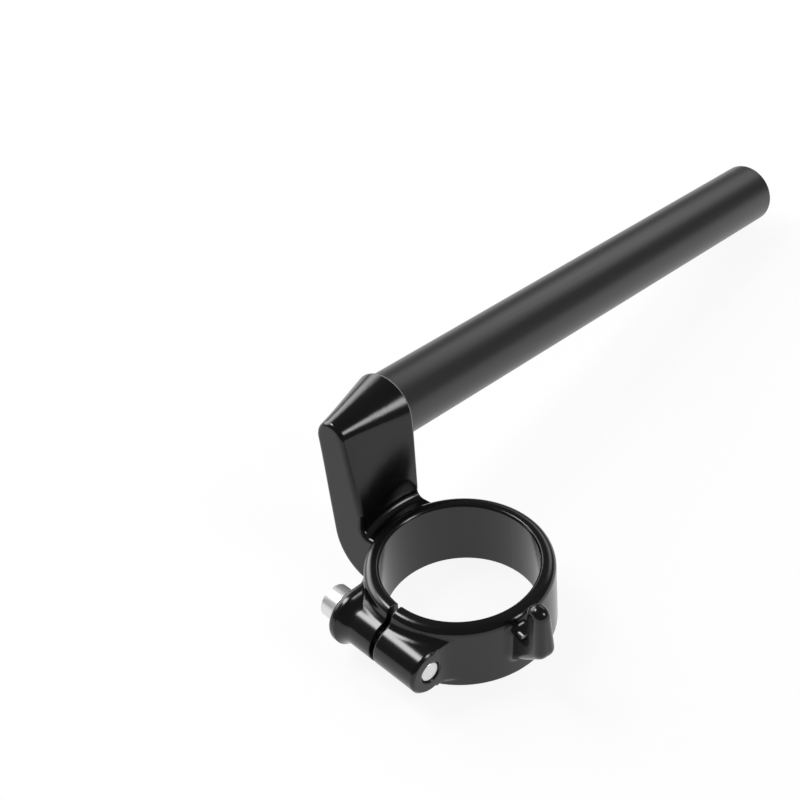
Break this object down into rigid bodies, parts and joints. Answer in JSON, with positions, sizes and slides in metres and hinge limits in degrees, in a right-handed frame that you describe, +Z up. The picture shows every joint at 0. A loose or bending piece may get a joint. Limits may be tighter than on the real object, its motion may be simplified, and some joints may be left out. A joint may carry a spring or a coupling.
{
  "type": "clip-on handlebar",
  "caption": "Clip-on motorbike handlebar: split fork clamp with pinch ears, bolt and locating hook, cast neck rising to a drooped hollow bar tube.",
  "frame": {"origin": "centre of the fork bore at the base of the clamp ring", "axes": "+Z up along the fork bore, +X along the bar's direction seen from above, out to the bar's open end, +Y from the fork axis to the bar"},
  "size_m": [0.2717, 0.1021, 0.0574],
  "materials": {
    "casting_paint": "gloss black paint on cast aluminium",
    "bar_paint": "satin black coat on aluminium tube",
    "bolt_plate": "bright zinc plate on steel"
  },
  "bodies": {
    "root": {"clamp_casting": "casting_paint", "bar_tube": "bar_paint", "pinch_bolt": "bolt_plate"}
  },
  "joints": []
}
